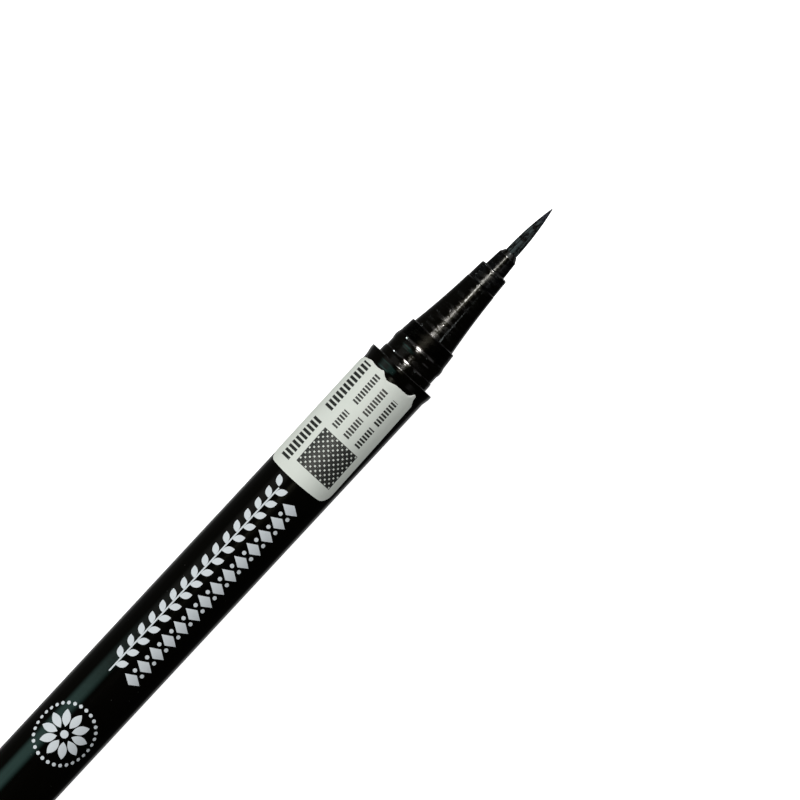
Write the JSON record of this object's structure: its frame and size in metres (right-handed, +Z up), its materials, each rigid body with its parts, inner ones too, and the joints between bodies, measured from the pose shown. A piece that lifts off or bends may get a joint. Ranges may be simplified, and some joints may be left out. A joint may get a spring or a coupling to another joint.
{
  "type": "liquid eyeliner pen",
  "caption": "Slim round liquid eyeliner pen with a pointed brush on a stepped cone, a cut paper seal and a snap cap posted on the tail.",
  "frame": {"origin": "on the table below the middle of the pen as it lies on its side with the cap on its tail", "axes": "+X along the pen's axis towards the brush tip, +Z up, +Y across"},
  "size_m": [0.1544, 0.0108, 0.011],
  "materials": {
    "black_plastic": "polished black moulding",
    "section_plastic": "glossy black moulding",
    "brush_fibre": "fine filaments wet with ink",
    "natural_plastic": "natural milky moulding",
    "feed_fibre": "bundled fibre stained with ink",
    "steel": "bright steel",
    "label_paper": "matte printed paper"
  },
  "bodies": {
    "pen": {"barrel_tube": "black_plastic", "front_section": "section_plastic", "brush_holder": "section_plastic", "brush_tuft": "brush_fibre", "brush_retainer": "natural_plastic", "feed_rod": "feed_fibre", "ink_collector": "natural_plastic", "tail_plug": "section_plastic", "barrel_seal_label": "label_paper"},
    "cap": {"cap_shell": "black_plastic", "inner_cap_spring": "steel", "cap_seal_label": "label_paper"},
    "inner_cap": {"inner_cap": "natural_plastic"},
    "mixing_ball": {"mixing_ball": "steel"}
  },
  "joints": [
    {"name": "cap_pull", "type": "slide", "parent": "pen", "child": "cap", "axis": [-1, 0, 0], "range_m": [0, 0.025]},
    {"name": "inner_cap_press", "type": "slide", "parent": "cap", "child": "inner_cap", "axis": [-1, 0, 0], "range_m": [0, 0.0015], "stiffness_N_per_m": 300, "springref_m": -0.002, "deforming": ["inner_cap_spring"]},
    {"name": "ball_roll", "type": "slide", "parent": "pen", "child": "mixing_ball", "axis": [1, 0, 0], "range_m": [-0.0054, 0.0444]}
  ]
}
